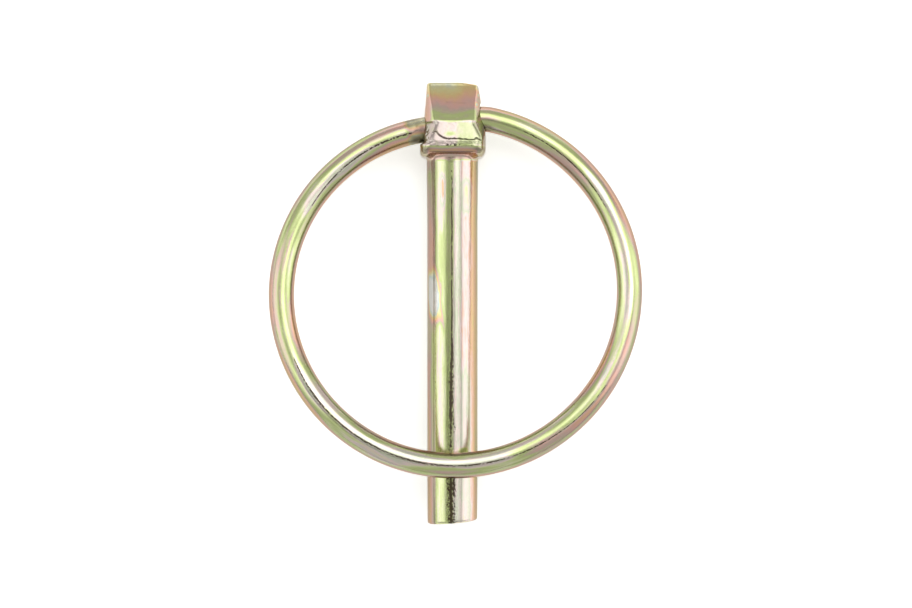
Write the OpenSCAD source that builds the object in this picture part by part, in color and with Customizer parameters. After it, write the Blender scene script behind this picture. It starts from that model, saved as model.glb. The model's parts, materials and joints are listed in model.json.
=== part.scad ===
// Lynch pin: a headed shank with a spring ring that swings over its end.
// Millimetres. The shank lies along Y on its back, with its head toward +Y, and the closed
// ring rests across its top. The origin is on the shank's axis, in the plane of the shoulder.

/* [Shank] */
// Diameter of the shank
shank_d = 6; // [5:0.5:7]
// Length of shank past the middle of the closed ring's wire
tip_past_ring = 7; // [5:0.1:12]
// Where the end's slight taper starts, on the head's side of the closed ring's wire
taper_lead = 2.1; // [1.8:0.1:4]
// How much the taper takes off the radius
taper_drop = 0.03; // [0.01:0.01:0.1]
// Rounding of the sheared end's edge
tip_round = 0.35; // [0.1:0.05:0.6]
// Slant of the sheared end, which is longer on the left
shear_slant = 4.6; // [0:0.2:8]
// Fillet between the shank and the shoulder
shoulder_fillet = 0.25; // [0.1:0.05:0.4]

/* [Head] */
// Height of the whole head above the shoulder
head_h = 8.9; // [8.4:0.1:12]
// Width of the head at its top
head_top_w = 6.2; // [5:0.1:7]
// Reach of the head's left face from the shank's axis
head_left = 3.4; // [3.2:0.05:4.2]
// Reach of the head's right face from the shank's axis, where it is fullest
head_right = 3.95; // [3.4:0.05:5]
// Height above which the right face slopes inward
flare_h = 2.8; // [2:0.1:3.4]
// Height of the crease above which the front and back slope inward
crease_h = 4.4; // [4:0.1:5.4]
// Depth of the head at its crease
crease_d = 7; // [6.4:0.1:9]
// Depth of the head at the collar
head_base_d = 7.9; // [7:0.1:10]
// Depth of the head's narrow top
head_top_d = 1.8; // [1.2:0.1:3]
// Rounding of the head's four upright edges
upright_round = 1.1; // [0.6:0.1:1.6]
// Rounding of the head's other edges
edge_round = 0.35; // [0.2:0.05:0.5]
// Rounding of the top's right-hand corner, which the dies filled less
corner_round = 0.8; // [0.4:0.05:1.2]

/* [Collar] */
// Reach of the squarish collar to the left of the shank's axis
collar_left = 3.85; // [3.6:0.05:5]
// Reach of the collar to the right of the shank's axis
collar_right = 4; // [3.6:0.05:5]
// Depth of the collar
collar_d = 8; // [7.2:0.1:10]
// Thickness of the collar
collar_h = 1.5; // [1.2:0.05:1.6]
// Rounding of the collar's upright corners
collar_corner = 1.6; // [1:0.1:2.2]
// Rounding of the collar's upper and lower edges
collar_edge = 0.45; // [0.2:0.05:0.55]

/* [Ring] */
// Diameter of the ring's wire
wire_d = 3; // [2:0.1:3.4]
// Radius of the ring's lower left quarter, to the middle of the wire, which sets the ring's size
lower_r = 20.39; // [17:0.01:26]
// Straight wire outside the head's left face, before the ring's curve begins
left_lead = 0.85; // [0.6:0.05:2]
// Radius of the short bend that brings the right side into the bore
bend_r = 5; // [4:0.5:8]
// Angle of that bend
bend_turn = 23.7; // [16:0.1:28]
// How far inside the head's right face the bend ends
bend_depth = 1.05; // [0.8:0.05:1.6]
// How much the wire's ends are relieved on the radius, where they turn in the bore
end_relief = 0.01; // [0.01:0.01:0.05]
// Gap between the ring's two ends inside the bore
end_gap = 1; // [0.5:0.1:2]

/* [Bore and fits] */
// Height of the bore's middle above the shoulder
pivot_h = 4; // [3.9:0.1:5.4]
// Slope of the bore, which is lower on the left
bore_slope = 11; // [6:0.5:14]
// Radial running clearance between the wire and the bore
bore_clear = 0.08; // [0.03:0.01:0.1]
// Gap between the closed ring and the shank
rest_gap = 0.1; // [0.05:0.05:0.3]

/* [Hidden] */
$fn = 96;
// Overshoot of a cut past the surface that it opens
past = 1;

shank_r = shank_d / 2;
wire_r = wire_d / 2;
end_r = wire_r - end_relief;
bore_r = end_r + bore_clear;

// The head's foot is sunk to the middle of the collar
head_foot = collar_h / 2;

// Where the bore's axis comes out of the head's two side faces, measured along the axis
right_face_x = lookup(pivot_h + head_right * tan(bore_slope), [[flare_h, head_right], [head_h, head_top_w / 2]]);
left_face_x = lookup(pivot_h - head_left * tan(bore_slope), [[head_foot, head_left], [head_h, head_top_w / 2]]);
bend_end = right_face_x / cos(bore_slope) - bend_depth;
curve_start = -left_face_x / cos(bore_slope) - left_lead;

// The bore's mouth opens by what the inside of the bend moves off the axis on its way out
bend_inner_r = bend_r - end_r;
mouth_depth = bend_depth + past;
mouth_r = bore_r + bend_inner_r - sqrt(pow(bend_inner_r, 2) - pow(mouth_depth, 2));

// Flat ring, with u along the bore and v toward the head: the wire leaves the bore on the left,
// runs through two quarters and the right side, and comes back in on the same axis.
// The upper left radius is what closes the ring, to a hundredth so that the arcs meet end to end.
half_bend = tan(bend_turn / 2);
left_r = round(100 * (lower_r * (1 + half_bend) - 2 * half_bend * bend_r - bend_end + curve_start)
    / (1 - half_bend)) / 100;
right_r = (left_r + lower_r - bend_r * (1 - cos(bend_turn))) / (1 + cos(bend_turn));
lower_u = bend_end - (right_r - bend_r) * sin(bend_turn);
left_u = lower_u + left_r - lower_r;
right_v = right_r - lower_r - left_r;
// Each end starts this far inside the wire that it carries on
lap = 0.05;

// Reach of the flat ring along the shank, then the tilt that rests it on the shank
lower_x = lower_u * cos(bore_slope) + left_r * sin(bore_slope);
lower_y = lower_u * sin(bore_slope) - left_r * cos(bore_slope);
ring_reach = sqrt(pow(lower_r, 2) - pow(lower_x, 2)) - lower_y;
closed_tilt = asin((shank_r + wire_r + rest_gap) / (ring_reach * cos(bore_slope)));
cross_len = ring_reach * cos(closed_tilt) - pivot_h;

taper_start = cross_len - taper_lead;
shank_len = cross_len + tip_past_ring + shank_r * tan(shear_slant);

// Inward unit step from corner i along the side toward corner j
function toward(pts, i, j) = (pts[j] - pts[i]) / norm(pts[j] - pts[i]);

// Convex outline with corner i rounded to radii[i]
module rounded(pts, radii) {
    last = len(pts) - 1;
    corners = [for (i = [0:last])
        let(
            a = toward(pts, i, i == 0 ? last : i - 1),
            b = toward(pts, i, i == last ? 0 : i + 1),
            half = acos(a * b) / 2,
            back = radii[i] / tan(half),
            mid = (a + b) / norm(a + b)
        )
        [pts[i] + a * back, pts[i] + b * back, pts[i] + mid * radii[i] / sin(half)]];
    polygon([for (c = corners) each [c[0], c[1]]]);
    for (i = [0:last])
        translate(corners[i][2]) circle(r = radii[i]);
}

// Solid that shows one outline from the front, one from the side and one from above
module three_way(span) {
    intersection() {
        translate([0, 0, -span]) linear_extrude(2 * span) children(0);
        rotate([0, 90, 0]) translate([0, 0, -span]) linear_extrude(2 * span) children(1);
        rotate([90, 0, 0]) translate([0, 0, -span]) linear_extrude(2 * span) children(2);
    }
}

// Box outline from x0 to x1 and y0 to y1 with all four corners rounded
module rounded_box(x0, x1, y0, y1, r) {
    rounded([[x0, y0], [x1, y0], [x1, y1], [x0, y1]], [r, r, r, r]);
}

module shank_profile() {
    tip_r = shank_r - taper_drop;
    difference() {
        polygon([
            [0, -head_foot], [shank_r + shoulder_fillet, -head_foot], [shank_r + shoulder_fillet, 0],
            [shank_r + shoulder_fillet, shoulder_fillet], [shank_r, shoulder_fillet], [shank_r, taper_start],
            [tip_r, shank_len - tip_round], [tip_r - tip_round, shank_len], [0, shank_len]
        ]);
        translate([shank_r + shoulder_fillet, shoulder_fillet]) circle(r = shoulder_fillet);
    }
    translate([tip_r - tip_round, shank_len - tip_round]) circle(r = tip_round);
}

// Headed end and sheared end of one piece of wire rod
module shank() {
    difference() {
        rotate([90, 0, 0]) rotate_extrude() shank_profile();
        translate([-shank_r, -shank_len, 0]) rotate([0, 0, shear_slant])
            translate([-past, -shank_d, -shank_d]) cube([2 * shank_d, shank_d, 2 * shank_d]);
    }
}

module collar() {
    three_way(2 * head_h) {
        rounded_box(-collar_left, collar_right, 0, collar_h, collar_edge);
        rounded_box(-collar_d / 2, collar_d / 2, 0, collar_h, collar_edge);
        rounded_box(-collar_left, collar_right, -collar_d / 2, collar_d / 2, collar_corner);
    }
}

// Wedge-topped block that the ring's bore runs through
module head() {
    half_base = head_base_d / 2;
    half_crease = crease_d / 2;
    half_top = head_top_d / 2;
    e = edge_round;
    three_way(2 * head_h) {
        rounded(
            [[-head_left, head_foot], [head_right, head_foot], [head_right, flare_h],
             [head_top_w / 2, head_h], [-head_top_w / 2, head_h]],
            [e, e, upright_round, corner_round, e]
        );
        rounded(
            [[-half_base, head_foot], [half_base, head_foot], [half_crease, crease_h],
             [half_top, head_h], [-half_top, head_h], [-half_crease, crease_h]],
            [e, e, e, e, e, e]
        );
        rounded_box(-head_left, head_right, -half_base, half_base, upright_round);
    }
}

// Places what is drawn along X on the bore's axis
module on_bore_axis() {
    translate([0, pivot_h, 0]) rotate([0, 0, bore_slope]) children();
}

module bore() {
    on_bore_axis() rotate([0, 90, 0]) {
        cylinder(r = bore_r, h = 4 * head_right, center = true);
        translate([0, 0, bend_end]) cylinder(r1 = bore_r, r2 = mouth_r, h = mouth_depth);
    }
}

// Wire of radius r along an arc about [u, v], from the angle from, anticlockwise through sweep
module arc(u, v, arc_r, from, sweep, r = wire_r) {
    translate([u, v, 0]) rotate_extrude(angle = sweep, start = from) translate([arc_r, 0]) circle(r = r);
}

// Straight end in the bore, from u toward the middle
module straight_end(u, toward_middle, length) {
    translate([u, 0, 0]) rotate([0, toward_middle * 90, 0]) cylinder(r = end_r, h = length);
}

module pin() {
    color("#c8bd8e") difference() {
        union() {
            shank();
            collar();
            head();
        }
        bore();
    }
}

module ring() {
    lap_angle = lap / bend_r * 180 / PI;
    color("#cfc79a") on_bore_axis() rotate([-closed_tilt, 0, 0]) {
        arc(left_u, -left_r, left_r, 90, 90);
        arc(lower_u, -left_r, lower_r, 180, 90);
        arc(lower_u, right_v, right_r, 270, 180 - bend_turn);
        arc(bend_end, -bend_r, bend_r, 90 - bend_turn - lap_angle, bend_turn + lap_angle, end_r);
        straight_end(bend_end, -1, bend_end - end_gap / 2);
        straight_end(left_u - lap, 1, lap - left_u - end_gap / 2);
    }
}

pin();
ring();
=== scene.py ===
"""Lynch pin in yellow chromate over zinc: a forged pin and the spring ring that closes over it.

The shank lies along Y with its head toward +Y, and the closed ring crosses over it on the +Z side.
Shapes are worked out in millimetres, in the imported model's frame, and scaled to metres once, in skin().
"""
import json
import math

import bpy
import numpy as np
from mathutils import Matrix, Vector, noise


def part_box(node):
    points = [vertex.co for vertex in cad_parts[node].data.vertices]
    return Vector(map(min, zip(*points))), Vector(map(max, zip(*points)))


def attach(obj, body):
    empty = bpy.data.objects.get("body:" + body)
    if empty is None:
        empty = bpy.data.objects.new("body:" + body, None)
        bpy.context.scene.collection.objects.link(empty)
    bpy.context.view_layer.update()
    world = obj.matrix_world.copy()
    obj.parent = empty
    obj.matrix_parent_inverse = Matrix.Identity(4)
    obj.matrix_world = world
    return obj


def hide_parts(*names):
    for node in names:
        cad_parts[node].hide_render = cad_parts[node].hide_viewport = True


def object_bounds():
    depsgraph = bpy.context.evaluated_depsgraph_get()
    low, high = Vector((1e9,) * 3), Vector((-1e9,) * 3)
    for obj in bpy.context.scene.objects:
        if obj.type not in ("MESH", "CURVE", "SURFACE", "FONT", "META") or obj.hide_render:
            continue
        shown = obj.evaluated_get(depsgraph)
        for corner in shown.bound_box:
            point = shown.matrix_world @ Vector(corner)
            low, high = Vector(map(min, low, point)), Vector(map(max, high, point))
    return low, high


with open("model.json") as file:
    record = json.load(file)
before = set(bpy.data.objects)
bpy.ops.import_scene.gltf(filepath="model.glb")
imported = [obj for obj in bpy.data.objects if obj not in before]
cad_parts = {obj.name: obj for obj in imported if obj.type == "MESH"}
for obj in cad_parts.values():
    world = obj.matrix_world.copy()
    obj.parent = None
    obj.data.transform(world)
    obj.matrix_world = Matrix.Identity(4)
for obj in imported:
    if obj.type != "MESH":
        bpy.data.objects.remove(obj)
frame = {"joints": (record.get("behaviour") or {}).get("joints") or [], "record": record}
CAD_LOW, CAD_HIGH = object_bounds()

MM = 0.001

# ---------------------------------------------------------------- sizes that the frame gives

HINGE = frame["joints"][0]
PIVOT_Y = HINGE["pos_m"][1] / MM
SLOPE = math.atan2(-HINGE["axis"][1], -HINGE["axis"][0])
PIN_LOW, PIN_HIGH = (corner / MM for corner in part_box("pin"))
SHANK_R = next(m for m in frame["record"]["mounts"] if m["kind"] == "pin")["dims"]["r_mm"]
HEAD_TOP = PIN_HIGH.y
TIP_Y = PIN_LOW.y

# ---------------------------------------------------------------- sizes of the pin, in millimetres

# Sheared end: rounding of its edge, how much its taper takes off the radius, and rise a mm to the right
TIP_ROUND = 0.35
TIP_DROP = 0.03
SHEAR_SLANT = math.tan(math.radians(4.6))
# Bore, and its flared mouth on the right, measured along the bore from the shank's axis
BORE_R = 1.57
BORE_FLARE_START = 2.69
BORE_FLARE_R = 2.23
BORE_FLARE_LENGTH = 2.05

# Outline of the head at heights above the shoulder: reach to the left and right of the shank's axis,
# and depth from the axis to the front and the back
LEFT = ((0.0, 3.5), (0.2, 3.78), (0.5, 3.85), (1.45, 3.85), (1.72, 3.42), (3.3, 3.4), (4.75, 3.38),
        (6.4, 3.24), (8.3, 3.13), (8.9, 3.1))
RIGHT = ((0.0, 3.5), (0.2, 3.75), (0.7, 3.95), (2.6, 3.99), (3.3, 3.9), (4.75, 3.77), (6.4, 3.46),
         (8.3, 3.2), (8.9, 3.14))
FRONT = ((1.2, 3.95), (1.9, 3.92), (2.1, 3.86), (4.2, 3.5), (8.9, 0.9))
BACK = ((1.2, 3.97), (2.1, 3.92), (4.3, 3.5), (8.9, 0.9))
# Bevel of the upright edges at those heights, across the left and right of the front, and its depth
LEFT_BEVEL = ((0.0, 0.9), (1.2, 0.95), (2.2, 0.86), (3.45, 1.36), (3.85, 1.5), (4.2, 1.25), (4.75, 1.12),
              (6.8, 0.66), (7.9, 0.4), (8.9, 0.3))
RIGHT_BEVEL = ((0.0, 0.8), (1.2, 0.75), (2.2, 0.55), (3.45, 1.1), (3.85, 1.35), (4.2, 1.25), (4.75, 1.15),
               (6.8, 0.73), (7.9, 0.38), (8.9, 0.3))
BEVEL_DEPTH = ((0.0, 1.0), (1.2, 1.1), (2.2, 1.3), (3.55, 2.2), (4.4, 2.3), (8.9, 0.55))
# Power that eases the bevels' edges: the higher, the crisper
EDGE_CRISPNESS = 20
# Height below which the collar's front and back roll in, and how far they go
ROLL_FROM = 1.2
ROLL_DEPTH = 0.6
# Hollow fillet between the shank and the collar
NECK_LENGTH = 0.4
# Rounding of the top's edge, and the top's reach to the side and to the front
TOP_ROUND = 0.3
TOP_HALF_WIDTH = 3.1
TOP_HALF_DEPTH = 0.9

# ---------------------------------------------------------------- small helpers


def smooth(low, high, x):
    t = np.clip((np.asarray(x, float) - low) / (high - low), 0, 1)
    return t * t * (3 - 2 * t)


def bell(x, middle, width):
    return np.exp(-((np.asarray(x, float) - middle) / width) ** 2)


def eased(y, points, blend=0.18):
    """The line through points, with its corners rounded over about twice blend."""
    xs, values = zip(*points)
    spread = np.linspace(-1, 1, 9)
    weights = 1.05 - spread ** 2
    total = sum(w * np.interp(y + blend * d, xs, values) for d, w in zip(spread, weights))
    return total / weights.sum()


def noise_at(points, scale, seed, octaves=1):
    """Noise from -1 to 1 at points in mm. scale is how many bumps a mm, along each axis."""
    at = np.asarray(points, float) * np.asarray(scale, float) + seed
    values = np.zeros(len(at))
    for octave in range(octaves):
        step = at * 2 ** octave
        values += np.array([noise.noise(p) for p in step.tolist()]) / 2 ** octave
    return values


def near_line(points, line):
    """Distance in X and Y from each point to a chain of straight stretches."""
    p = points[:, :2]
    best = np.full(len(p), 1e9)
    for start, end in zip(line[:-1], line[1:]):
        a, b = np.array(start), np.array(end)
        t = np.clip(((p - a) @ (b - a)) / ((b - a) @ (b - a)), 0, 1)
        best = np.minimum(best, np.linalg.norm(p - a - t[:, None] * (b - a), axis=1))
    return best


def skin(name, rings):
    """A closed mesh through rings of points, in mm, each end closed by a fan."""
    count, around = rings.shape[:2]
    points = np.vstack([rings.reshape(-1, 3), rings[0].mean(0), rings[-1].mean(0)])
    turn = np.arange(around)
    after = (turn + 1) % around
    faces = []
    for i in range(count - 1):
        a, b = i * around, (i + 1) * around
        faces += np.stack([a + turn, a + after, b + after, b + turn], 1).tolist()
    first, last = count * around, count * around + 1
    top = (count - 1) * around
    faces += np.stack([np.full(around, first), after, turn], 1).tolist()
    faces += np.stack([top + turn, top + after, np.full(around, last)], 1).tolist()
    mesh = bpy.data.meshes.new(name)
    mesh.from_pydata((points * MM).tolist(), [], faces)
    mesh.validate()
    piece = bpy.data.objects.new(name, mesh)
    bpy.context.scene.collection.objects.link(piece)
    return piece


def points_of(piece):
    co = np.zeros(len(piece.data.vertices) * 3)
    piece.data.vertices.foreach_get("co", co)
    return co.reshape(-1, 3) / MM


def paint(piece, name, values):
    kind = "FLOAT_VECTOR" if np.ndim(values) == 2 else "FLOAT"
    layer = piece.data.attributes.new(name, kind, "POINT")
    layer.data.foreach_set("vector" if kind == "FLOAT_VECTOR" else "value",
                           np.asarray(values, np.float32).ravel())


# ---------------------------------------------------------------- pin: section and profile


def angles_round(count, crowding=0.45):
    """Angles from +Z toward +X, closer together on the front."""
    turn = np.arange(count) / count
    return 2 * math.pi * turn - crowding * np.sin(2 * math.pi * turn)


def block_section(angle, left, right, front, back, left_bevel, right_bevel, bevel_depth):
    """Bevelled rectangle met by rays from the axis: X and Z for each angle. Its edges are eased."""
    sx, sz = np.sin(angle), np.cos(angle)
    half_x = np.where(sx > 0, right, left)
    half_z = np.where(sz > 0, front, back)
    across = np.where(sx > 0, right_bevel, left_bevel)
    ax, az = np.abs(sx) + 1e-9, np.abs(sz) + 1e-9
    corner = half_x * bevel_depth + half_z * across - across * bevel_depth
    to_bevel = corner / (ax * bevel_depth + az * across)
    sides = np.stack([half_x / ax, half_z / az, to_bevel])
    nearest = sides.min(0)
    reach = nearest * ((nearest / sides) ** EDGE_CRISPNESS).sum(0) ** (-1 / EDGE_CRISPNESS)
    return reach * sx, reach * sz


def roll(y, start, depth):
    """How far the collar has rolled in below the height start."""
    down = np.clip((start - y) / start, 0, 1)
    return depth * (1 - np.sqrt(1 - down ** 2))


def head_ring(angle, y):
    """X and Z of the head's outline at the height y."""
    front = eased(y, FRONT, 0.14) - roll(y, ROLL_FROM, ROLL_DEPTH)
    back = eased(y, BACK) - roll(y, ROLL_FROM, ROLL_DEPTH)
    return block_section(angle, eased(y, LEFT, 0.1), eased(y, RIGHT, 0.14), front, back,
                         eased(y, LEFT_BEVEL, 0.3), eased(y, RIGHT_BEVEL, 0.3), eased(y, BEVEL_DEPTH, 0.3))


def shank_radius(y):
    swell = 0.06 * smooth(-9, -0.5, y)
    return SHANK_R + swell - TIP_DROP * smooth(-36, TIP_Y, y)


def ring_at(angle, x, z, y):
    return np.stack([x, np.broadcast_to(y, angle.shape), z], 1)


def pin_rings(around=204):
    """The pin's outlines, from the middle of its sheared end to the middle of the head's top."""
    angle = angles_round(around)
    sin_a, cos_a = np.sin(angle), np.cos(angle)
    rings = []
    tip = TIP_Y + SHANK_R * SHEAR_SLANT
    tip_r = shank_radius(TIP_Y)
    # Sheared face, from its middle out, then its rounded edge
    for share in (0.04, 0.12, 0.22, 0.32, 0.42, 0.52, 0.62, 0.72, 0.82, 0.92):
        r = share * (tip_r - TIP_ROUND)
        rings.append(ring_at(angle, r * sin_a, r * cos_a, tip))
    for turn in np.linspace(0, math.pi / 2, 8):
        r = tip_r - TIP_ROUND + TIP_ROUND * math.sin(turn)
        rings.append(ring_at(angle, r * sin_a, r * cos_a, tip + TIP_ROUND * (1 - math.cos(turn))))
    # Shank, closer together toward the tip
    near_tip = np.arange(tip + TIP_ROUND + 0.12, -24, 0.15)
    near_head = np.arange(-24, -NECK_LENGTH - 0.1, 0.2)
    for y in np.concatenate([near_tip, near_head]):
        r = shank_radius(y)
        rings.append(ring_at(angle, r * sin_a, r * cos_a, y))
    # Neck: a hollow fillet out of the shank to the collar's foot
    foot_x, foot_z = head_ring(angle, 0.0)
    neck_r = shank_radius(-NECK_LENGTH)
    for turn in np.linspace(0, math.pi / 2, 10):
        w = 1 - math.cos(turn)
        x = (1 - w) * neck_r * sin_a + w * foot_x
        z = (1 - w) * neck_r * cos_a + w * foot_z
        rings.append(ring_at(angle, x, z, -NECK_LENGTH * (1 - math.sin(turn))))
    # Collar, lap and head
    heights = np.concatenate([
        0.9 * (1 - np.cos(np.linspace(0.1, math.pi / 2, 13))),
        np.arange(0.96, 4.7, 0.06), np.arange(4.78, 8.55, 0.13)])
    for y in heights:
        x, z = head_ring(angle, y)
        rings.append(ring_at(angle, x, z, y))
    # Rounded edge of the top, then the top face
    top_x, top_z = head_ring(angle, HEAD_TOP - TOP_ROUND)
    for turn in np.linspace(0.25, math.pi / 2, 6):
        inset = TOP_ROUND * (1 - math.cos(turn))
        x = top_x * (1 - inset / TOP_HALF_WIDTH)
        z = top_z * (1 - inset / TOP_HALF_DEPTH)
        rings.append(ring_at(angle, x, z, HEAD_TOP - TOP_ROUND + TOP_ROUND * math.sin(turn)))
    edge = rings[-1]
    for share in (0.9, 0.78, 0.64, 0.5, 0.36, 0.22, 0.1, 0.03):
        rings.append(edge * [share, 1, share])
    return np.array(rings)


# ---------------------------------------------------------------- pin: marks that forging and wear left

# Lap where the metal folded over the collar, from its curl on the left to its step on the right
LAP = ((-2.41, 2.63), (-2.3, 2.8), (-2.06, 2.93), (-1.86, 2.9), (-1.75, 2.7), (-1.51, 2.45),
       (-1.17, 2.25), (-0.83, 2.11), (-0.4, 2.03), (0.21, 2.1), (0.9, 2.04), (2.14, 1.94), (2.58, 1.93),
       (2.8, 2.18), (3.04, 2.03), (3.4, 1.88))
# Black pits in a row on the collar's front: X, Y and size
PITS = ((-0.65, 1.3, 0.07), (-0.51, 1.31, 0.06), (-0.2, 1.28, 0.07), (0.28, 1.29, 0.12), (0.43, 1.27, 0.07),
        (0.83, 1.32, 0.06))
# Scuffs on the upright edges: X, Y and size
SCUFFS = ((3.15, 8.35, 0.22), (3.1, 7.35, 0.14), (2.9, 6.2, 0.16), (3.0, 5.7, 0.1), (-2.9, 7.3, 0.1))
# Thin drawn line along the shank, in degrees round it
SEAM_ANGLE = -46.0
# Middle of the patch that is rubbed bare: degrees round the shank, and Y
RUB_ANGLE = -53.0
RUB_Y = -16.4


def side_angle(points):
    """Degrees round the shank's axis: 0 in front, 90 on the right, -90 on the left."""
    return np.degrees(np.arctan2(points[:, 0], points[:, 2]))


def on_end(points):
    """1 on the sheared end's face, 0 round the shank."""
    x, y, z = points.T
    return smooth(2.88, 2.7, np.hypot(x, z)) * smooth(TIP_Y + 1.5, TIP_Y + 1.0, y)


def lap_line(points):
    return np.where(points[:, 2] > 1.5, near_line(points, LAP), 9)


def pits(points):
    depth = np.zeros(len(points))
    for x, y, size in PITS:
        away = np.hypot(points[:, 0] - x, points[:, 1] - y)
        depth = np.maximum(depth, smooth(1.5 * size, 0.6 * size, away))
    return depth * (points[:, 2] > 1.5)


def staked(points):
    """1 on the crumpled left corner beside the bore, 0 away from it."""
    x, y, z = points.T
    return bell(x, -2.95, 0.5) * bell(y, 2.3, 0.95) * smooth(1.5, 2.6, z)


def shank_pits_and_reflection(points):
    """The line of black pits down the shank's front, drawn also as a painted dark reflection: distance from
    it in mm, and its half width in mm.
    """
    x, y, z = points.T
    middle = -0.06 + 0.02 * np.sin(y * 1.3) - 0.12 * smooth(-23, -28, y) + 0.02 * smooth(-37, -39, y)
    width = 0.1 + 0.05 * smooth(-13, -19, y) + 0.3 * smooth(-20, -28, y) + 0.2 * smooth(-28, -31, y)
    patchy = 0.9 + 0.4 * noise_at(points, (0.4, 0.3, 0.4), 3.1, 2)
    there = smooth(-0.6, -2.0, y) * (z > 0) * (1 - on_end(points))
    return x - middle, np.clip(width * patchy * there, 0, 1)


def dash_strength(points):
    """How closely the pits and the painted dark reflection crowd along that line, growing toward the tip.
    """
    y = points[:, 1]
    grown = 0.9 + 0.05 * smooth(-12, -17, y) + 0.06 * smooth(-20, -28, y) + 0.14 * smooth(-36.8, -38.8, y)
    gap = 0.2 * smooth(-32.4, -33.2, y) * smooth(-38, -36.8, y)
    patchy = 0.2 * noise_at(points, (0.6, 0.5, 0.6), 4.4, 2)
    return (grown - gap + patchy) * smooth(-0.6, -2.0, y) * (points[:, 2] > 0)


def seam_distance(points):
    """Distance in mm from the thin drawn line along the shank's left, or 9 off the shank."""
    away = (side_angle(points) - SEAM_ANGLE) * math.radians(SHANK_R)
    away = away + 0.03 * noise_at(points, (0.3, 0.5, 0.3), 8.7, 2)
    away = away * (1 - 0.35 * smooth(-37.5, -39, points[:, 1]))
    return np.where((points[:, 1] < -0.3) & (on_end(points) < 0.5), away, 9)


def rub(points):
    """1 where the plating is rubbed to bare zinc on the shank's left, fading out around it."""
    y = points[:, 1]
    down = RUB_Y - y
    angle = side_angle(points) - 2.2 * down
    across = (angle - RUB_ANGLE) / 15
    across = np.where(across > 0, across * 0.8, across)
    wobble = 0.25 * noise_at(points, (0.9, 0.5, 0.9), 5.3, 2)
    return smooth(1.75, 0.75, (across ** 4 + (down / 2.1) ** 4) ** 0.25 + wobble)


def rub_streak(points):
    """Thinned film in a streak that runs down and inward from the rubbed patch."""
    y = points[:, 1]
    middle = -46 + (-14.0 - y) * 4.3
    return bell(side_angle(points), middle, 4.5) * smooth(-12.5, -14.5, y) * smooth(-21.5, -19.0, y)


def pin_relief(points):
    """How far each point stands proud of the plain form, in mm."""
    y = points[:, 1]
    on_head = smooth(-0.1, 0.3, y)
    lap = lap_line(points)
    proud = 0.03 * on_head * noise_at(points, 0.55, 1.7)
    proud += 0.008 * on_head * noise_at(points, 3.5, 2.9, 2)
    proud += 0.006 * (1 - on_head) * noise_at(points, (2.2, 0.25, 2.2), 4.4, 2)
    proud -= 0.14 * bell(lap, 0, 0.045)
    proud += 0.1 * staked(points) * noise_at(points, (2.6, 2.2, 2.6), 6.2, 3)
    proud -= 0.1 * pits(points)
    proud -= 0.02 * bell(seam_distance(points), 0, 0.12)
    proud -= 0.025 * rub(points)
    at_end = smooth(TIP_Y + 0.9, TIP_Y + 0.3, y)
    proud += 0.03 * at_end * noise_at(points, (1.2, 1.2, 1.2), 7.7, 2)
    return proud


def shape_pin(piece):
    """Gives the plain form its relief, its slanted end and its uneven collar and top."""
    points = points_of(piece)
    x, y = points[:, 0], points[:, 1]
    radial = points * [1, 0, 1]
    radial /= np.maximum(np.linalg.norm(radial, axis=1), 0.3)[:, None]
    points = points + radial * pin_relief(points)[:, None]
    # The shear slants the end, longer on the left
    points[:, 1] += SHEAR_SLANT * x * smooth(TIP_Y + 4, TIP_Y + 0.8, y)
    # The collar is rolled up over the front and back of the shank
    angle = np.abs((side_angle(points) + 90) % 180 - 90)
    lift = smooth(-0.75, -0.05, y) * smooth(1.5, 0.4, y)
    points[:, 1] += 0.38 * lift * smooth(50, 34, angle)
    # The dies did not fill the top's right corner
    points[:, 1] -= 0.26 * smooth(0.6, 3.3, x) * smooth(HEAD_TOP - 1.2, HEAD_TOP, y)
    piece.data.vertices.foreach_set("co", (points * MM).ravel())
    piece.data.update()


def bore_cutter():
    """Drill with a flared right mouth and an eased left edge, along the hinge's axis."""
    profile = [(-7.0, BORE_R + 0.4), (-3.62, BORE_R + 0.25), (-3.35, BORE_R), (BORE_FLARE_START, BORE_R),
               (BORE_FLARE_START + BORE_FLARE_LENGTH, BORE_FLARE_R), (7.5, BORE_FLARE_R + 0.6)]
    around = 96
    turn = np.linspace(0, 2 * math.pi, around, endpoint=False)
    rings = []
    for u, r in profile:
        rings.append(np.stack([np.full(around, u), r * np.cos(turn), r * np.sin(turn)], 1))
    rings = np.array(rings)
    c, s = math.cos(SLOPE), math.sin(SLOPE)
    placed = np.stack([rings[..., 0] * c - rings[..., 1] * s,
                       PIVOT_Y + rings[..., 0] * s + rings[..., 1] * c, rings[..., 2]], -1)
    return skin("bore_cutter", placed)


def drill(piece, cutter):
    cut = piece.modifiers.new("bore", "BOOLEAN")
    cut.object = cutter
    cut.operation = "DIFFERENCE"
    cut.solver = "EXACT"
    deps = bpy.context.evaluated_depsgraph_get()
    mesh = bpy.data.meshes.new_from_object(piece.evaluated_get(deps))
    piece.modifiers.clear()
    piece.data = mesh
    bpy.data.objects.remove(cutter)


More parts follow.
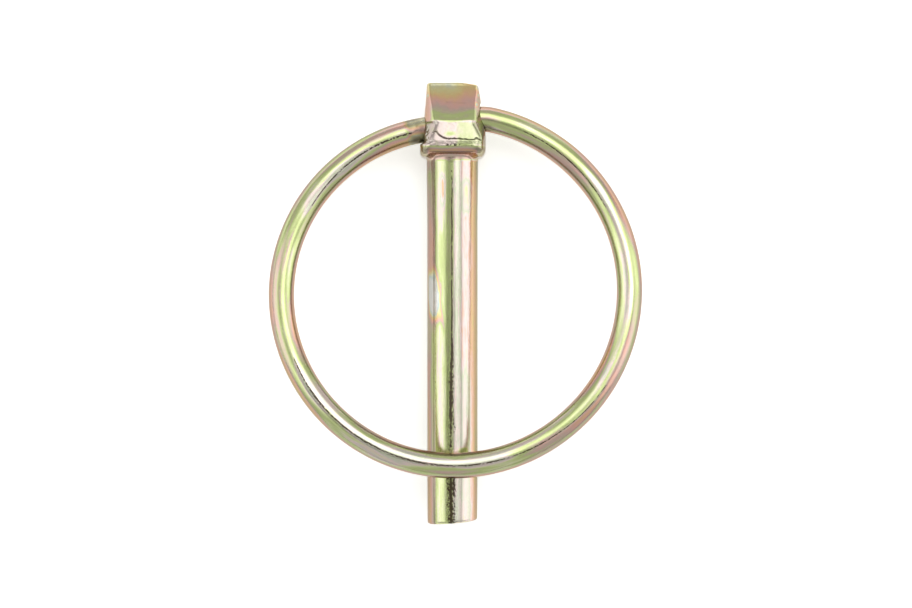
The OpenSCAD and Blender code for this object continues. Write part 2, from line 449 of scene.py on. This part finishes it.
# Film round the shank, at degrees from the front, and over the head, at heights above the shoulder
SHANK_FILM = ((-180, 0.6), (-130, 0.72), (-100, 0.5), (-86, 0.44), (-76, 0.55), (-62, 0.58), (-50, 0.59),
              (-43, 0.62), (-38, 0.80), (-30, 0.86), (-22, 0.81), (-15, 0.76), (-11, 0.68), (-3, 0.69),
              (1, 0.78), (5, 0.94), (18, 0.97), (23, 1.055), (42, 1.065), (47, 1.14), (55, 1.16),
              (63, 1.20), (70, 1.25), (80, 1.3), (100, 1.0), (130, 0.72), (180, 0.6))
HEAD_FILM = ((-0.3, 0.52), (0.15, 0.54), (0.38, 0.46), (0.6, 0.42), (0.8, 0.33), (1.0, 0.6), (1.15, 0.63),
             (1.35, 0.9), (1.6, 0.93), (4.0, 0.93), (4.3, 0.66), (4.55, 0.66), (4.9, 0.71), (5.15, 0.62),
             (5.6, 0.54), (6.2, 0.49), (6.7, 0.42), (7.1, 0.34), (7.5, 0.28), (8.0, 0.23), (8.4, 0.205),
             (8.9, 0.2))
# Patches of other film on the shank: change in the film, degrees round and half width in degrees, then
# one or two fades along Y, each from where the patch is nothing to where it is full
SHANK_PATCHES = (
    (0.3, -22, 6, (-6.6, -4.4), (-1.4, -3.2)),
    (-0.24, 33, 13, (-7.2, -5.4), (-2.2, -3.8)),
    (-0.1, -24, 9, (-8.4, -9.5), (-14.2, -12.8)),
    (0.1, -50, 7, (-18.5, -21)),
    (-0.24, -72, 14, (-22.5, -25)),
    (-0.14, 32, 12, (-24, -27)),
    (-0.2, -66, 16, (-2.2, -0.8)),
    (-0.1, -62, 14, (-34, -36)),
    (-0.1, -30, 10, (-34, -34.6), (-36.6, -35.4)),
    (-0.3, 26, 12, (-34, -34.6), (-36.6, -35.4)))


def shank_film(points):
    """Film thickness round the shank, with its patches, and over its sheared end."""
    y = points[:, 1]
    angle = side_angle(points)
    degrees, film = zip(*SHANK_FILM)
    film = np.interp(angle + 1.2 * noise_at(points, (0.3, 0.12, 0.3), 10.2), degrees, film)
    for change, middle, half_width, *fades in SHANK_PATCHES:
        patch = change * bell(angle, middle, half_width)
        for nothing, full in fades:
            patch = patch * smooth(nothing, full, y)
        film = film + patch
    film = film + 0.12 * bell(angle, 4, 7) * bell(y, -3.4, 0.7)
    varied = 0.13 - 0.11 * bell(angle, 33, 14) + 0.1 * smooth(-50, -60, angle)
    film = film + varied * noise_at(points, (0.5, 0.07, 0.5), 11.3, 2)
    film = film - 0.3 * rub_streak(points)
    end_face = 0.5 + 0.2 * noise_at(points, 0.5, 15.8, 2)
    return film + (end_face - film) * on_end(points)


def head_film(points):
    """Film thickness over the head: bands up its front, other colours down its sides, and scuffs."""
    x, y, z = points.T
    bowed = 0.3 * ((x + 0.2) / 2.2) ** 2 * smooth(4.3, 4.9, y) * smooth(6.4, 5.6, y)
    height = y - bowed + 0.3 * noise_at(points, 0.4, 12.1)
    height = height + 0.2 * np.sin(x * 0.9 + 0.6) * smooth(5.4, 6.2, y)
    film = eased(height, HEAD_FILM, 0.12)
    film = film + 0.12 * smooth(-0.4, 2.0, x) * smooth(5.8, 7.2, y)
    below_crease = smooth(4.15, 3.9, y) * smooth(1.2, 1.5, y) * (z > 0)
    film = film - 0.04 * below_crease * smooth(0.2, -0.5, x) - 0.12 * below_crease * smooth(0.0, 1.0, x)
    film = film - 0.24 * below_crease * bell(x, -0.2, 0.5) * bell(y, 2.65, 0.25)
    film = film + 0.035 * noise_at(points, 0.8, 13.9, 2)
    beside = smooth(2.45, 2.95, np.abs(x - 0.15)) * smooth(0.6, 1.6, y)
    beside = beside * np.maximum(smooth(3.4, 2.8, z), smooth(3.9, 4.4, y))
    beside = beside * (1 - 0.8 * smooth(6.4, 8.0, y))
    side_film = np.where(x < 0, 0.47, 0.55) + 0.52 * smooth(4.4, 3.7, y)
    side_film = side_film + 0.1 * noise_at(points, 0.45, 14.2, 2)
    film = film * (1 - beside) + beside * side_film
    corner = smooth(2.6, 3.1, np.abs(x)) * smooth(1.3, 1.0, y)
    film = film * (1 - corner) + 0.6 * corner
    for scuff_x, scuff_y, size in SCUFFS:
        film = film - 0.6 * bell(x, scuff_x, size) * bell(y, scuff_y, 1.4 * size)
    return np.clip(film, 0.03, 1)


def pin_film(points):
    """Thickness of the chromate film over the pin, from 0 for bare zinc up."""
    up = smooth(-0.45, -0.2, points[:, 1])
    return (head_film(points) * up + shank_film(points) * (1 - up)) * (1 - rub(points))


def pin_shade(points):
    """Painted shade and light on the pin's colour: darker along the shank's flanks, between its highlights,
    over the head's facet and sides and under the collar, and lighter in the neck's corners.
    """
    x, y, z = points.T
    angle = side_angle(points)
    on_shank = smooth(-0.3, -0.5, y)
    # Painted shade down the shank's two flanks, and below it beside the seam and in a thin line between the
    # highlights
    flanks = np.where(angle < 0, 0.4 * smooth(-44, -54, angle), 0.36 * smooth(50, 66, angle))
    shade = 1 - on_shank * flanks
    beside_seam = smooth(-48, -45, angle) * smooth(-33, -37, angle) * smooth(-14.5, -12, y)
    shade = shade - 0.16 * on_shank * beside_seam
    shade = shade - 0.22 * on_shank * bell(angle, 21, 1.8)
    # Painted shade over the head's bright facet, down its sides and at the collar's lower corners
    facet = smooth(-0.2, 0.2, y) * (z > 0)
    shade = shade - 0.31 * facet * smooth(4.3, 4.0, y) * smooth(1.2, 1.5, y)
    beside = smooth(2.5, 3.0, np.abs(x - 0.15)) * smooth(3.6, 4.6, y) * smooth(8.4, 6.8, y)
    shade = shade - 0.22 * facet * beside
    shade = shade + 0.22 * rub(points)
    shade = shade - 0.2 * facet * smooth(2.4, 3.0, np.abs(x)) * smooth(1.4, 1.1, y)
    # Painted light in the neck's corners beside the shank, then painted shade in a band under the collar
    inner = smooth(2.9, 2.2, np.abs(x))
    shade = shade + 0.7 * bell(np.abs(x), 2.5, 0.4) * bell(y, 0.08, 0.2)
    return shade - 0.25 * bell(y, 0.8, 0.14) - 0.55 * inner * bell(y, 0.53, 0.1)


# ---------------------------------------------------------------- ring

# Wire, and its relieved ends in the bore
WIRE_R = 1.5
END_R = 1.49
# Flat ring: its lower left radius, where its curve starts and its bend ends along the bore, and the bend
LOWER_R = 20.39
CURVE_START = -4.214
BEND_END = 2.695
BEND_R = 5.0
BEND_TURN = math.radians(23.7)
# Gap between the ends in the bore, and between the closed ring and the shank
END_GAP = 1.0
REST_GAP = 0.1
# The wire's end faces, hidden in the bore: share of the radius, and how far it lies behind the rim
END_STEPS = ((0.2, 0.0), (0.6, 0.0), (0.85, 0.03), (0.96, 0.13))


def ring_path(step=0.3):
    """The flat ring's centreline, from its left end round to its right, as U, V and the outward
    direction, and the tilt that rests the ring on the shank."""
    half = math.tan(BEND_TURN / 2)
    left_r = (LOWER_R * (1 + half) - 2 * half * BEND_R - BEND_END + CURVE_START) / (1 - half)
    right_r = (left_r + LOWER_R - BEND_R * (1 - math.cos(BEND_TURN))) / (1 + math.cos(BEND_TURN))
    lower_u = BEND_END - (right_r - BEND_R) * math.sin(BEND_TURN)
    left_u = lower_u + left_r - LOWER_R
    right_v = right_r - LOWER_R - left_r
    bend = math.degrees(BEND_TURN)
    arcs = ((left_u, -left_r, left_r, 90, 180), (lower_u, -left_r, LOWER_R, 180, 270),
            (lower_u, right_v, right_r, 270, 450 - bend), (BEND_END, -BEND_R, BEND_R, 450 - bend, 450))
    path = [(u, 0.0, 0.0, 1.0) for u in np.arange(-END_GAP / 2, left_u, -step)]
    for u, v, r, start, end in arcs:
        count = max(4, round(math.radians(end - start) * r / step))
        for turn in np.radians(np.linspace(start, end, count, endpoint=False)):
            path.append((u + r * math.cos(turn), v + r * math.sin(turn), math.cos(turn), math.sin(turn)))
    path += [(u, 0.0, 0.0, 1.0) for u in np.arange(BEND_END, END_GAP / 2, -step)]
    path.append((END_GAP / 2, 0.0, 0.0, 1.0))
    lower_x = lower_u * math.cos(SLOPE) + left_r * math.sin(SLOPE)
    lower_y = lower_u * math.sin(SLOPE) - left_r * math.cos(SLOPE)
    reach = math.sqrt(LOWER_R ** 2 - lower_x ** 2) - lower_y
    tilt = math.asin((SHANK_R + WIRE_R + REST_GAP) / (reach * math.cos(SLOPE)))
    return np.array(path), tilt


def ring_relief(along, angle):
    """How far the wire's surface stands proud, in mm, at a length along it and an angle round it."""
    flat = np.stack([along, WIRE_R * np.sin(angle), WIRE_R * np.cos(angle)], 1)
    proud = 0.008 * noise_at(flat, (0.12, 0.6, 0.6), 21.0, 2)
    proud += 0.004 * noise_at(flat, (0.5, 3.0, 3.0), 22.0, 2)
    top = np.abs((angle + math.pi) % (2 * math.pi) - math.pi)
    proud -= 0.1 * bell(along, 4.0, 0.35) * bell(top, 0.25, 0.5)
    return proud


def ring_mesh(around=72):
    """The ring, and for each of its points the place on the wire laid out straight: along, out and up."""
    path, tilt = ring_path()
    step = np.linalg.norm(np.diff(path[:, :2], axis=0), axis=1)
    along = np.concatenate([[0], np.cumsum(step)])
    angle = np.linspace(0, 2 * math.pi, around, endpoint=False)
    c, s = math.cos(SLOPE), math.sin(SLOPE)
    u_axis = np.array([c, s, 0])
    v_axis = np.array([-math.cos(tilt) * s, math.cos(tilt) * c, -math.sin(tilt)])
    up = np.cross(u_axis, v_axis)
    inside = np.maximum(smooth(3.6, 3.0, along), smooth(along[-1] - 2.4, along[-1] - 2.0, along))
    radius = WIRE_R + (END_R - WIRE_R) * inside
    rings, flat = [], []

    def add(i, r, shift=0.0):
        u, v, du, dv = path[i]
        centre = np.array([0, PIVOT_Y, 0]) + (u + shift) * u_axis + v * v_axis
        outward = du * u_axis + dv * v_axis
        r = np.broadcast_to(r, angle.shape)
        rings.append(centre + np.outer(r * np.sin(angle), outward) + np.outer(r * np.cos(angle), up))
        spots = np.full(around, along[i])
        flat.append(np.stack([spots, WIRE_R * np.sin(angle), WIRE_R * np.cos(angle)], 1))

    for share, behind in END_STEPS:
        add(0, END_R * share, -behind)
    for i in range(len(path)):
        add(i, radius[i] + ring_relief(np.full(around, along[i]), angle))
    for share, behind in reversed(END_STEPS):
        add(len(path) - 1, END_R * share, behind)
    piece = skin("ring_wire", np.array(rings))
    return piece, np.vstack([*flat, flat[0].mean(0), flat[-1].mean(0)])


# Film round the wire, at degrees from its top, outward positive
RING_FILM = ((-180, 0.6), (-110, 0.62), (-84, 0.38), (-68, 0.43), (-56, 0.56), (-44, 0.66), (-30, 0.74),
             (-12, 0.84), (10, 0.84), (24, 0.74), (42, 0.68), (56, 0.56), (66, 0.46), (84, 0.36),
             (110, 0.62), (180, 0.6))
# Painted dark reflection along the wire, drawn as lines of black pits: mm from its left end, degrees from
# its top and half width in mm
RING_DARK_REFLECTION = ((0, -14, 0.0), (4.2, -14, 0.0), (4.4, -14, 0.2), (9, -13, 0.2), (14, -18, 0.14),
               (19, -24, 0.1), (21, -26, 0.0), (37, -5, 0.0), (40, -3, 0.12), (44, 1, 0.2), (57, 3, 0.2),
               (66, 5, 0.12), (74, 9, 0.1), (83, 18, 0.08), (86, 22, 0.0), (104, -16, 0.0),
               (106, -16, 0.1), (118, -14, 0.12), (121, -14, 0.0), (140, -14, 0.0))


def ring_film(flat):
    """Film thickness over the wire, blotched along its top and thin on its left end, where painted shade
    darkens the wire going into the head.
    """
    along, out, up = flat.T
    turn = np.degrees(np.arctan2(out, up))
    degrees, film = zip(*RING_FILM)
    base = np.interp(turn, degrees, film)
    middle = 0.35 + 0.65 * smooth(72, 50, np.abs(turn))
    base = base + 0.36 * middle * noise_at(flat, (0.1, 0.8, 0.8), 31.0, 3)
    base = base + 0.22 * middle * noise_at(flat, (0.04, 0.25, 0.25), 36.0)
    # Other film on the left end, under the painted shade there
    base = base - 0.4 * smooth(5.3, 4.4, along)
    return np.clip(base, 0.2, 0.97)


def ring_dark_reflection(flat):
    """Distance in mm from the painted dark reflection along the wire, a ragged line drawn as black pits,
    and the line's half width in mm.
    """
    along, out, up = flat.T
    starts, degrees, widths = zip(*RING_DARK_REFLECTION)
    away = np.degrees(np.arctan2(out, up)) - np.interp(along, starts, degrees)
    width = 0.75 * np.interp(along, starts, widths) * (1 + 0.7 * noise_at(flat, (0.35, 0.1, 0.1), 38.0))
    return away * math.radians(WIRE_R), np.clip(width, 0, 1)


# ---------------------------------------------------------------- plating

# Reflected colour of the film as it thickens, from bare zinc
FILM_COLOURS = (
    (0.00, (0.56, 0.56, 0.54)), (0.07, (0.53, 0.55, 0.52)), (0.12, (0.40, 0.50, 0.48)),
    (0.18, (0.57, 0.57, 0.40)), (0.26, (0.62, 0.56, 0.27)), (0.33, (0.65, 0.47, 0.21)),
    (0.40, (0.69, 0.41, 0.26)), (0.47, (0.65, 0.38, 0.32)), (0.54, (0.52, 0.39, 0.32)),
    (0.61, (0.50, 0.46, 0.29)), (0.68, (0.45, 0.52, 0.21)), (0.75, (0.51, 0.58, 0.25)),
    (0.82, (0.60, 0.62, 0.37)), (0.89, (0.68, 0.55, 0.51)), (0.95, (0.58, 0.56, 0.46)),
    (1.00, (0.54, 0.57, 0.41)), (1.07, (0.71, 0.565, 0.545)), (1.14, (0.70, 0.43, 0.29)),
    (1.20, (0.67, 0.47, 0.23)), (1.27, (0.57, 0.51, 0.22)), (1.34, (0.43, 0.47, 0.28)))
THICKEST = 1.34


class Nodes:
    """Short calls for making and joining shader nodes."""

    def __init__(self, tree):
        self.tree = tree

    def add(self, kind, **settings):
        node = self.tree.nodes.new(kind)
        for key, value in settings.items():
            setattr(node, key, value)
        return node

    def join(self, output, target):
        self.tree.links.new(output, target)

    def feed(self, node, socket, value):
        if isinstance(value, bpy.types.NodeSocket):
            self.join(value, node.inputs[socket])
        else:
            node.inputs[socket].default_value = value

    def math(self, operation, a, b=0.0, clamp=False):
        node = self.add("ShaderNodeMath", operation=operation, use_clamp=clamp)
        self.feed(node, 0, a)
        self.feed(node, 1, b)
        return node.outputs[0]

    def attribute(self, name, vector=False):
        node = self.add("ShaderNodeAttribute", attribute_name=name)
        return node.outputs["Vector" if vector else "Fac"]

    def noise(self, place, stretch, scale, detail=2.0, roughness=0.5, offset=0.0):
        mapping = self.add("ShaderNodeMapping")
        self.join(place, mapping.inputs["Vector"])
        mapping.inputs["Location"].default_value = (offset, offset, offset)
        mapping.inputs["Scale"].default_value = stretch
        node = self.add("ShaderNodeTexNoise")
        self.join(mapping.outputs[0], node.inputs["Vector"])
        node.inputs["Scale"].default_value = scale
        node.inputs["Detail"].default_value = detail
        node.inputs["Roughness"].default_value = roughness
        return node.outputs["Fac"]

    def ramp(self, value, stops):
        node = self.add("ShaderNodeValToRGB")
        self.join(value, node.inputs[0])
        elements = node.color_ramp.elements
        while len(elements) < len(stops):
            elements.new(0.5)
        for element, (place, colour) in zip(elements, stops):
            element.position = place
            element.color = (*colour, 1)
        return node.outputs["Color"]

    def range(self, value, low, high, to_low, to_high):
        node = self.add("ShaderNodeMapRange")
        self.join(value, node.inputs["Value"])
        limits = {"From Min": low, "From Max": high, "To Min": to_low, "To Max": to_high}
        for socket, number in limits.items():
            node.inputs[socket].default_value = number
        return node.outputs["Result"]

    def mix(self, amount, a, b):
        node = self.add("ShaderNodeMix", data_type="RGBA")
        self.feed(node, 0, amount)
        for socket, value in ((6, a), (7, b)):
            self.feed(node, socket, value)
        return node.outputs[2]


def pits_and_reflection_line(n, place, offset):
    """Black specks that crowd toward a line: real pits and a painted dark reflection on the shank, a
    painted dark reflection on the wire. "dash" is the distance from it, "dash_width" its half width and
    "dash_strength" how closely they crowd."""
    width = n.math("MAXIMUM", n.attribute("dash_width"), 0.001)
    away = n.math("ABSOLUTE", n.attribute("dash"))
    halo = n.math("MULTIPLY", n.range(n.math("DIVIDE", away, width), 0.6, 1.4, 1.0, 0.0), 0.7)
    core = n.math("MULTIPLY", n.range(away, 0.08, 0.16, 1.0, 0.0), 0.3)
    near = n.math("MULTIPLY", n.math("ADD", halo, core), n.attribute("dash_strength"))
    near = n.math("MULTIPLY", near, n.range(width, 0.02, 0.06, 0.0, 1.0))
    grains = n.noise(place, (0.7, 1, 1), 4.8, 3, 0.7, offset + 11)
    crowd = n.math("ADD", grains, n.math("MULTIPLY", near, 0.5))
    return n.range(crowd, 0.83, 0.88, 0.0, 0.97)


def plating(name, offset):
    """Yellow chromate over zinc. "flat" is each point's place in mm on the part laid out straight, "film"
    the film's thickness, "shade" the painted shade and light that darken or brighten its colour, "grime"
    the dark in pits and laps together with painted shade under the collar and at the ring's left end,
    "drawn" 1 where the metal was drawn and has lines along it, and "seam" the distance from its thin dark
    line."""
    material = bpy.data.materials.new(name)
    material.use_nodes = True
    tree = material.node_tree
    shader = tree.nodes["Principled BSDF"]
    n = Nodes(tree)
    place = n.attribute("flat", vector=True)
    film = n.attribute("film")
    grime_and_shade = n.attribute("grime_and_shade")

    drawn = n.attribute("drawn")
    cloud = n.noise(place, (0.35, 1, 1), 1.3, 3, 0.6, offset)
    streak = n.noise(place, (0.08, 1, 1), 4.0, 3, 0.6, offset + 3)
    grain = n.noise(place, (0.05, 1, 1), 22.0, 2, 0.6, offset + 5)
    speck = n.noise(place, (1, 1, 1), 9.0, 3, 0.65, offset + 7)
    dust = n.noise(place, (1, 1, 1), 26.0, 2, 0.6, offset + 9)

    thick = n.math("ADD", film, n.range(cloud, 0.3, 0.7, -0.025, 0.025))
    lined = n.math("MULTIPLY", n.range(streak, 0.3, 0.7, -0.05, 0.05), drawn)
    thick = n.math("ADD", thick, lined)
    thick = n.math("ADD", thick, n.range(speck, 0.3, 0.7, -0.012, 0.012))
    thick = n.math("DIVIDE", thick, THICKEST)
    colour = n.ramp(thick, [(at / THICKEST, shown) for at, shown in FILM_COLOURS])
    shade = n.math("MULTIPLY", n.range(grain, 0.3, 0.7, 0.95, 1.04), n.range(dust, 0.25, 0.6, 0.93, 1.02))
    shade = n.math("MULTIPLY", shade, n.attribute("shade"))
    shaded = n.add("ShaderNodeVectorMath", operation="SCALE")
    n.join(colour, shaded.inputs[0])
    n.join(shade, shaded.inputs["Scale"])
    pit = n.range(speck, 0.68, 0.74, 0.0, 0.6)
    black = pits_and_reflection_line(n, place, offset)
    seam = n.math("ABSOLUTE", n.attribute("seam"))
    seam = n.math("MULTIPLY", n.range(seam, 0.05, 0.16, 0.62, 0.0), n.range(streak, 0.3, 0.55, 0.4, 1.0))
    # Near-black in pits, laps and the seam, and where painted shade and a painted dark reflection fall
    dark = n.math("MAXIMUM", n.math("MAXIMUM", grime_and_shade, pit), n.math("MAXIMUM", black, seam))
    colour = n.mix(dark, shaded.outputs[0], (0.05, 0.032, 0.017, 1))
    n.join(colour, shader.inputs["Base Color"])

    rough = n.math("ADD", n.range(streak, 0.3, 0.7, 0.14, 0.2), n.range(dust, 0.3, 0.7, -0.02, 0.03))
    rough = n.math("ADD", rough, n.math("MULTIPLY", dark, 0.4), clamp=True)
    n.join(rough, shader.inputs["Roughness"])
    shader.inputs["Metallic"].default_value = 1.0
    shader.inputs["Specular Tint"].default_value = (0.5, 0.4, 0.3, 1)
    shader.inputs["Coat Weight"].default_value = 0.7
    shader.inputs["Coat IOR"].default_value = 1.6
    shader.inputs["Coat Roughness"].default_value = 0.12

    height = n.math("ADD", n.math("MULTIPLY", grain, 0.5), n.math("MULTIPLY", speck, 0.6))
    height = n.math("SUBTRACT", height, n.math("MULTIPLY", n.math("MAXIMUM", pit, black), 1.2))
    bump = n.add("ShaderNodeBump")
    bump.inputs["Strength"].default_value = 0.35
    bump.inputs["Distance"].default_value = 0.00003
    n.join(height, bump.inputs["Height"])
    n.join(bump.outputs[0], shader.inputs["Normal"])
    return material


def flank(degrees):
    """1 down the two sides of the wire, 0 along its top and its very edges: where painted shade darkens it.
    """
    turn = np.abs(degrees)
    return smooth(38, 54, turn) * smooth(90, 72, turn)


def finish_piece(piece, material, body, node, sharp=38):
    """Smooths all but edges sharper than sharp degrees, and puts the piece in its node's place."""
    piece.data.materials.append(material)
    piece.data.shade_smooth()
    piece.data.set_sharp_from_angle(angle=math.radians(sharp))
    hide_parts(node)
    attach(piece, body)


def make_pin():
    piece = skin("pin_forging", pin_rings())
    shape_pin(piece)
    drill(piece, bore_cutter())
    points = points_of(piece)
    x, y, z = points.T
    paint(piece, "flat", np.stack([y, x, z], 1))
    paint(piece, "film", pin_film(points))
    grime_and_shade = np.maximum(0.55 * bell(lap_line(points), 0, 0.05), pits(points))
    # Painted shade: a dark band under the collar's roll, where it meets the shank
    under = bell(y, 0.53, 0.09) * smooth(2.9, 2.2, np.abs(x))
    # Darker at the collar's lower front corners
    corners = bell(np.abs(x), 2.9, 0.4) * bell(y, 0.9, 0.2) * (z > 0)
    tool_line = bell(y, 6.42 - 0.04 * x, 0.05) * (np.abs(x) < 2) * (noise_at(points, 0.8, 17.0) > 0)
    nick = bell(x, 1.2, 0.12) * smooth(8.7, 8.85, y)
    neck_spot = bell(x, -0.1, 0.3) * bell(y, -0.55, 0.12) * (z > 0)
    for part in (0.4 * under, 0.3 * corners, 0.3 * tool_line, 0.6 * nick, 0.7 * neck_spot):
        grime_and_shade = np.maximum(grime_and_shade, part)
    # Black pits and a painted dark reflection down the shank's front
    dash, dash_width = shank_pits_and_reflection(points)
    paint(piece, "grime_and_shade", grime_and_shade)
    paint(piece, "dash", dash)
    paint(piece, "dash_width", dash_width)
    paint(piece, "dash_strength", dash_strength(points))
    paint(piece, "seam", seam_distance(points))
    paint(piece, "drawn", smooth(0.3, -0.3, y))
    paint(piece, "shade", pin_shade(points))
    finish_piece(piece, plating("pin_plating", 0.0), "pin", "pin")
    return piece


def make_ring():
    piece, flat = ring_mesh()
    paint(piece, "flat", flat)
    paint(piece, "film", ring_film(flat))
    along = flat[:, 0]
    turn = np.degrees(np.arctan2(flat[:, 1], flat[:, 2]))
    # Painted dark reflection along the wire
    dash, dash_width = ring_dark_reflection(flat)
    # Painted shade where the wire's left end goes into the head
    painted_end_shade = smooth(5.3, 4.4, along) * (0.75 + noise_at(flat, 0.9, 41.0, 2))
    paint(piece, "grime_and_shade", np.clip(0.6 * painted_end_shade, 0, 0.7))
    paint(piece, "dash", dash)
    paint(piece, "dash_width", dash_width)
    paint(piece, "dash_strength", np.full(len(flat), 0.88))
    paint(piece, "seam", np.full(len(flat), 9.0))
    paint(piece, "drawn", np.ones(len(flat)))
    # Painted shade down the wire's two sides
    paint(piece, "shade", 1 - flank(turn) * np.where(turn < 0, 0.3, 0.4))
    finish_piece(piece, plating("ring_plating", 40.0), "ring", "ring")
    return piece


# ---------------------------------------------------------------- camera, lights and floor

# Height in metres of the camera, straight over MIDDLE, and its focal length in mm on a 36 mm sensor
CAMERA_HEIGHT = 0.32
LENS = 106.3
SENSOR = 36
# Brightness of the studio all round, and of the dark stripe in it
WORLD_LEVEL = 0.68
STRIPE_LEVEL = 0.02
# In metres, from the middle to each side
FLOOR_HALF_SIZE = 3.0
# Point under the camera, level with the shank's axis
MIDDLE = Vector((0.43 * MM, (CAD_LOW.y + CAD_HIGH.y) / 2 - 0.06 * MM, 0))


def add_camera():
    data = bpy.data.cameras.new("camera")
    data.lens = LENS
    data.sensor_width = SENSOR
    data.clip_start = 0.01
    camera = bpy.data.objects.new("camera", data)
    camera.location = MIDDLE + Vector((0, 0, CAMERA_HEIGHT))
    bpy.context.scene.collection.objects.link(camera)
    bpy.context.scene.camera = camera


def softbox(name, across, toward_head, distance, width, height, radiance):
    """Area light seen from the part at angles in degrees off straight up, with its distance and size in
    metres. It fades toward its edges."""
    a, b = math.radians(across), math.radians(toward_head)
    rise = math.sqrt(max(0.01, 1 - math.sin(a) ** 2 - math.sin(b) ** 2))
    direction = Vector((math.sin(a), math.sin(b), rise))
    data = bpy.data.lights.new(name, "AREA")
    data.shape = "RECTANGLE"
    data.size = width
    data.size_y = height
    data.energy = radiance * math.pi * width * height
    data.use_nodes = True
    n = Nodes(data.node_tree)
    split = n.add("ShaderNodeSeparateXYZ")
    n.join(n.add("ShaderNodeNewGeometry").outputs["Parametric"], split.inputs[0])
    fade = 1.0
    for axis in "XY":
        part = n.math("MULTIPLY", split.outputs[axis], n.math("SUBTRACT", 1.0, split.outputs[axis]))
        fade = n.math("MULTIPLY", n.range(part, 0.0, 0.2, 0.2, 1.0), fade)
    n.join(fade, data.node_tree.nodes["Emission"].inputs["Strength"])
    light = bpy.data.objects.new(name, data)
    light.location = MIDDLE + direction * distance
    light.rotation_euler = direction.to_track_quat("Z", "Y").to_euler()
    light.visible_camera = False
    bpy.context.scene.collection.objects.link(light)


def add_world():
    """Pale studio all round, with one dark stripe overhead that shows between the metal's highlights."""
    world = bpy.data.worlds.new("studio")
    world.use_nodes = True
    bpy.context.scene.world = world
    n = Nodes(world.node_tree)
    background = world.node_tree.nodes["Background"]
    direction = n.add("ShaderNodeTexCoord").outputs["Generated"]
    split = n.add("ShaderNodeSeparateXYZ")
    n.join(direction, split.inputs[0])
    height = n.math("MAXIMUM", split.outputs["Z"], 0.05)
    sideways = n.math("DIVIDE", split.outputs["X"], height)
    slant = n.math("ADD", n.math("DIVIDE", split.outputs["Y"], height), n.math("MULTIPLY", sideways, 0.08))
    stripe = n.math("MULTIPLY", n.range(slant, -0.19, -0.16, 0, 1), n.range(slant, -0.08, -0.05, 1, 0))
    stripe = n.math("MULTIPLY", stripe, n.range(n.math("ABSOLUTE", sideways), 0.5, 0.8, 1, 0))
    n.join(n.range(stripe, 0, 1, WORLD_LEVEL, STRIPE_LEVEL), background.inputs["Strength"])
    background.inputs["Color"].default_value = (1, 0.99, 0.975, 1)


def add_lights():
    softbox("light_above", 8, 29, 1.0, 1.25, 0.75, 1.5)
    softbox("light_above_low", 19, 6, 1.0, 0.9, 0.42, 0.98)
    softbox("light_left", -55, 4, 0.9, 0.8, 0.95, 1.0)
    softbox("light_right", 67, 3, 0.9, 1.0, 0.95, 1.0)


def add_floor():
    mesh = bpy.data.meshes.new("floor")
    half = FLOOR_HALF_SIZE
    corners = ((-half, -half), (half, -half), (half, half), (-half, half))
    mesh.from_pydata([(x, y, CAD_LOW.z) for x, y in corners], [], [(0, 1, 2, 3)])
    floor = bpy.data.objects.new("floor", mesh)
    bpy.context.scene.collection.objects.link(floor)
    material = bpy.data.materials.new("floor_paper")
    material.use_nodes = True
    shader = material.node_tree.nodes["Principled BSDF"]
    shader.inputs["Base Color"].default_value = (0.93, 0.93, 0.92, 1)
    shader.inputs["Roughness"].default_value = 0.9
    shader.inputs["Specular IOR Level"].default_value = 0.1
    shader.inputs["Emission Color"].default_value = (1, 1, 1, 1)
    shader.inputs["Emission Strength"].default_value = 0.42
    mesh.materials.append(material)


bpy.context.scene.view_settings.view_transform = "Standard"
make_pin()
make_ring()
add_camera()
add_world()
add_lights()
add_floor()
